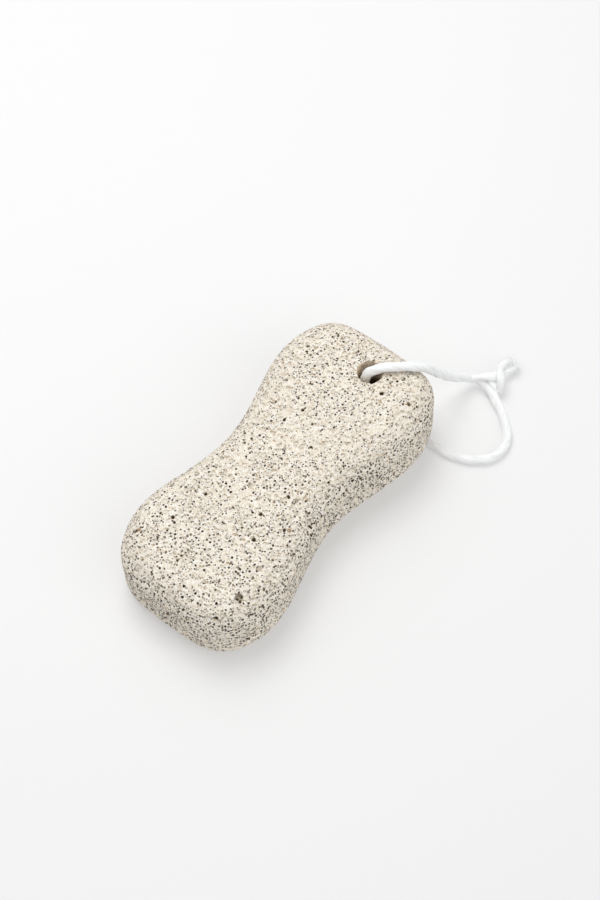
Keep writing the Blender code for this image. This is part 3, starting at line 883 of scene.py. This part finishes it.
def pumice_material():
    """Cream-grey pumice: cupped all over by shallow bubbles, with painted brown shade under one side of
    each cup's edge and a painted pale highlight on their lips, full of pinholes painted dark as shade,
    painted brown to black shade with some dirt inside the pores, painted light that makes the steep
    walls and the hole's wall paler, and painted shade that darkens down the hole."""
    material = bpy.data.materials.new("pumice")
    material.use_nodes = True
    tree = material.node_tree
    shader = tree.nodes["Principled BSDF"]
    place = add_node(tree, "ShaderNodeTexCoord").outputs["Object"]
    pore, cup, hole, down, wall, rust = (
        add_node(tree, "ShaderNodeAttribute", attribute_name=name).outputs["Fac"]
        for name in ("pore", "cup", "hole", "down", "wall", "rust")
    )
    wander = noise(tree, place, 1100.0, 1.0).outputs["Color"]
    pushed = add_node(
        tree,
        "ShaderNodeVectorMath",
        ((0, wander), (1, FROTH_PUSH), (2, place)),
        operation="MULTIPLY_ADD",
    ).outputs["Vector"]
    clouds = noise(tree, place, 110.0, 3.0).outputs["Fac"]
    speckle = noise(tree, place, 2700.0, 2.0).outputs["Fac"]
    on_wall = times(tree, ramp(tree, wall, 0.15, 0.5), ramp(tree, hole, 0.0, 1.0, 1.0, 0.2))
    off_wall = ramp(tree, wall, 0.15, 0.5, 1.0, 0.1)
    along = add_node(tree, "ShaderNodeSeparateXYZ", (("Vector", place),)).outputs["X"]
    grow = ramp(tree, along, 0.02, -0.03, 0.96, 1.12)
    # pinhole masks: dark painted shade, painted brown shade round it, and a painted pale highlight
    pits, pinhole_edge_shades, highlight_rings = 0.0, 0.0, 0.0
    for pinholes, growth, where in (
        (SMALL_PINHOLES, grow, off_wall),
        (LARGE_PINHOLES, grow, off_wall),
        (WALL_PINHOLES, 1.0, on_wall),
    ):
        masks = cut_bubbles(tree, pushed, *pinholes, growth)
        pits, pinhole_edge_shades, highlight_rings = (
            larger(tree, so_far, times(tree, mask, where))
            for so_far, mask in zip((pits, pinhole_edge_shades, highlight_rings), masks)
        )
    cups = froth_cups(tree, pushed)
    shade_shifted_place = add_node(
        tree, "ShaderNodeVectorMath", ((0, pushed), (1, CUP_SHADE_SHIFT)), operation="ADD"
    ).outputs["Vector"]
    cups_beside = froth_cups(tree, shade_shifted_place)
    # painted shade under one side of each cup's edge
    painted_cup_shade = times(tree, cups, ramp(tree, cups_beside, 0.6, 0.1))
    # painted highlight on the cups' lips, opposite the painted shade
    painted_lip_highlight = times(tree, cups_beside, ramp(tree, cups, 0.4, 0.0))
    colour = blend_colours(tree, ramp(tree, clouds, 0.35, 0.68), PUMICE_CREAM, PUMICE_PALE)
    for share, tint in (
        # painted light: the steep walls are made paler and warmer than the top
        (ramp(tree, wall, 0.2, 0.8, 0.0, 0.8), WALL_PAINTED_LIGHT),
        (ramp(tree, speckle, 0.6, 0.34, 0.0, 0.4), GRAIN_BROWN),
        (ramp(tree, speckle, 0.5, 0.68, 0.0, 0.7), GRAIN_PALE),
        # painted highlight on the cups' lips
        (ramp(tree, painted_lip_highlight, 0.0, 0.8, 0.0, 0.7), PAINTED_HIGHLIGHT_PALE),
        # painted shade under one side of each cup's edge
        (ramp(tree, painted_cup_shade, 0.0, 0.6, 0.0, 0.85), CUP_PAINTED_SHADE),
        # painted pale highlight round the pinholes
        (ramp(tree, highlight_rings, 0.0, 1.0, 0.0, 0.75), PAINTED_HIGHLIGHT_PALE),
        (ramp(tree, rust, 0.0, 1.0, 0.0, 0.8), RUST_BROWN),
        # painted shade, with some dirt, darkening inside the pores
        (ramp(tree, pore, -0.08, 0.04, 0.0, 0.7), PORE_SHADE_DIRT_BROWN),
        (ramp(tree, pore, 0.02, 0.14, 0.0, 0.97), PORE_SHADE_DIRT_BLACK),
        # painted brown shade round the pinholes
        (ramp(tree, pinhole_edge_shades, 0.0, 1.0, 0.0, 0.85), PINHOLE_EDGE_PAINTED_SHADE),
        # pinholes painted dark as their shade
        (pits, PINHOLE_PAINTED_SHADE),
        # painted light: the drilled hole's wall is made paler and warmer
        (ramp(tree, hole, 0.0, 1.0, 0.0, 0.6), HOLE_PAINTED_LIGHT),
        # painted shade that deepens down the hole
        (times(tree, hole, down), HOLE_PAINTED_SHADE),
    ):
        colour = blend_colours(tree, share, colour, tint)
    tree.links.new(colour, shader.inputs["Base Color"])
    height = add_up(tree, times(tree, pits, -1.6), times(tree, cups, -1.3))
    height = add_up(tree, height, ramp(tree, cup, 0.0, 0.2, 0.0, -0.8))
    height = add_up(tree, height, times(tree, speckle, 1.1))
    bump = add_node(
        tree, "ShaderNodeBump", (("Height", height), ("Strength", 1.0), ("Distance", RELIEF))
    )
    tree.links.new(bump.outputs["Normal"], shader.inputs["Normal"])
    shader.inputs["Roughness"].default_value = 1.0
    shader.inputs["Specular IOR Level"].default_value = 0.1
    return material


stone = build_stone()
stone.data.materials.append(pumice_material())
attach(stone, "root")
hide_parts("pumice_stone")

# Studio: a plain pale paper floor that glows a little, an even white sky, and four soft lights: three
# small ones from above, from behind and from the left, and a broad one from the front right.
FLOOR_HALF = 6.0
PAPER_GREY = (0.59, 0.59, 0.59, 1.0)
LIGHT_WHITE = (1.0, 1.0, 1.0, 1.0)
FLOOR_GLOW = 0.265
SKY_STRENGTH = 0.455


def build_studio():
    """The floor and the sky, with colours shown as they are lit."""
    mesh = bpy.data.meshes.new("floor")
    corners = [(x * FLOOR_HALF, y * FLOOR_HALF, 0.0) for x, y in ((-1, -1), (1, -1), (1, 1), (-1, 1))]
    mesh.from_pydata(corners, [], [(0, 1, 2, 3)])
    floor = bpy.data.objects.new("floor", mesh)
    bpy.context.scene.collection.objects.link(floor)
    paper = bpy.data.materials.new("paper")
    paper.use_nodes = True
    shader = paper.node_tree.nodes["Principled BSDF"]
    shader.inputs["Base Color"].default_value = PAPER_GREY
    shader.inputs["Roughness"].default_value = 1.0
    shader.inputs["Specular IOR Level"].default_value = 0.0
    shader.inputs["Emission Color"].default_value = LIGHT_WHITE
    shader.inputs["Emission Strength"].default_value = FLOOR_GLOW
    mesh.materials.append(paper)
    sky = bpy.data.worlds.new("sky")
    sky.use_nodes = True
    background = sky.node_tree.nodes["Background"]
    background.inputs["Color"].default_value = LIGHT_WHITE
    background.inputs["Strength"].default_value = SKY_STRENGTH
    bpy.context.scene.world = sky
    bpy.context.scene.view_settings.view_transform = "Standard"


def add_softbox(name, azimuth, elevation, distance, size, power):
    """A square soft light that faces the stone from this direction."""
    lamp = bpy.data.lights.new(name, "AREA")
    lamp.size = size
    lamp.energy = power
    light = bpy.data.objects.new(name, lamp)
    bpy.context.scene.collection.objects.link(light)
    back = way_back(math.radians(azimuth), math.radians(elevation))
    light.location = VIEW_AIM + distance * back
    light.rotation_euler = back.to_track_quat("Z", "Y").to_euler()


build_studio()
add_softbox("top", azimuth=165.0, elevation=74.0, distance=0.6, size=0.3, power=1.5)
add_softbox("back", azimuth=145.0, elevation=50.0, distance=0.7, size=0.45, power=1.0)
add_softbox("left", azimuth=215.0, elevation=35.0, distance=0.7, size=0.4, power=0.32)
add_softbox("front", azimuth=355.0, elevation=40.0, distance=3.0, size=3.0, power=29.0)
